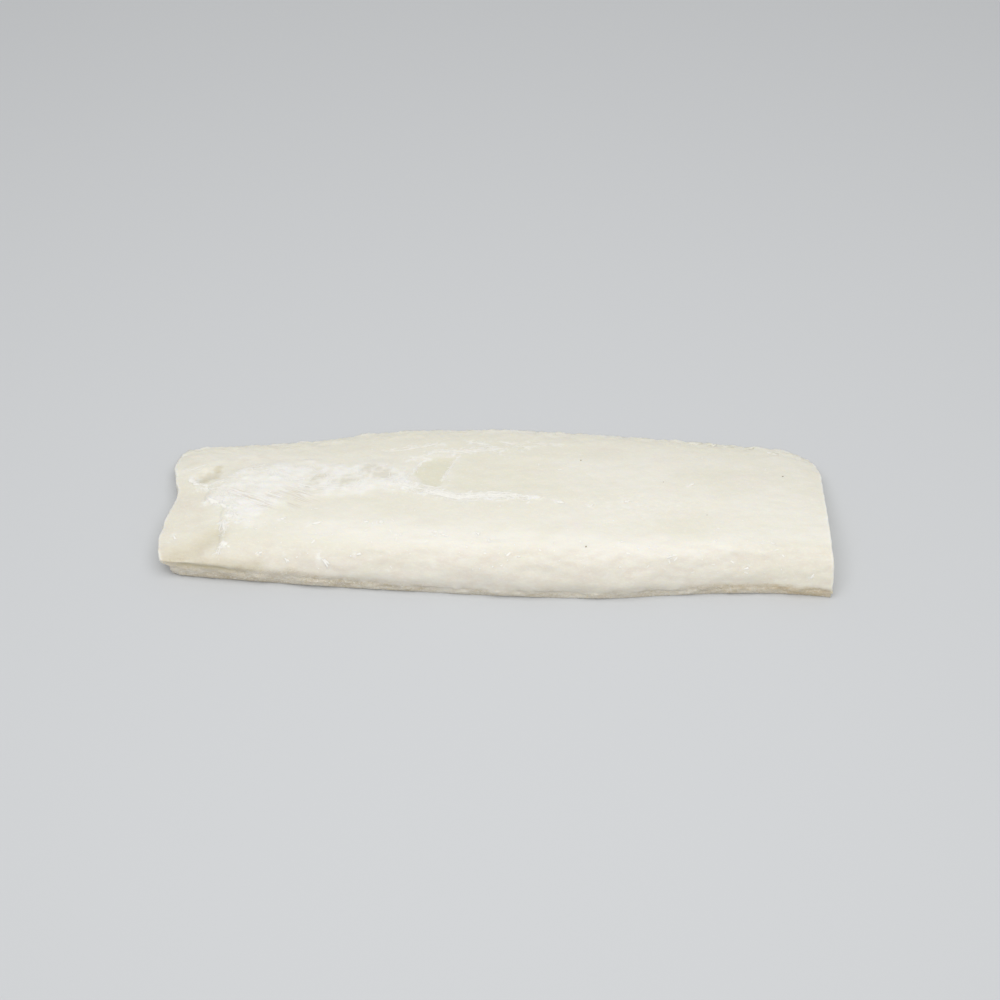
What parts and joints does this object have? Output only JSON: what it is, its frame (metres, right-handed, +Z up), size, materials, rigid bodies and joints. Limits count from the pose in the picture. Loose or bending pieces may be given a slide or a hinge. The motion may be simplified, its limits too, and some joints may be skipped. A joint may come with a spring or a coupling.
{
  "type": "salted dried cod fillet",
  "caption": "Long crowned side of salted dried cod, boned and skinned, with a knife-cut end, a torn end and a thin belly edge, lying flat.",
  "frame": {"origin": "on the ground, under the middle of the fillet's box", "axes": "+X from the torn tail end to the knife-cut end, +Y from the thick back edge to the thin belly edge, +Z up out of the crown"},
  "size_m": [0.4296, 0.142, 0.0286],
  "materials": {
    "salted_flesh": "creamy off-white salt-cured fish flesh, satin and slightly translucent, with silvery membrane"
  },
  "bodies": {
    "root": {"fillet": "salted_flesh"}
  },
  "joints": []
}
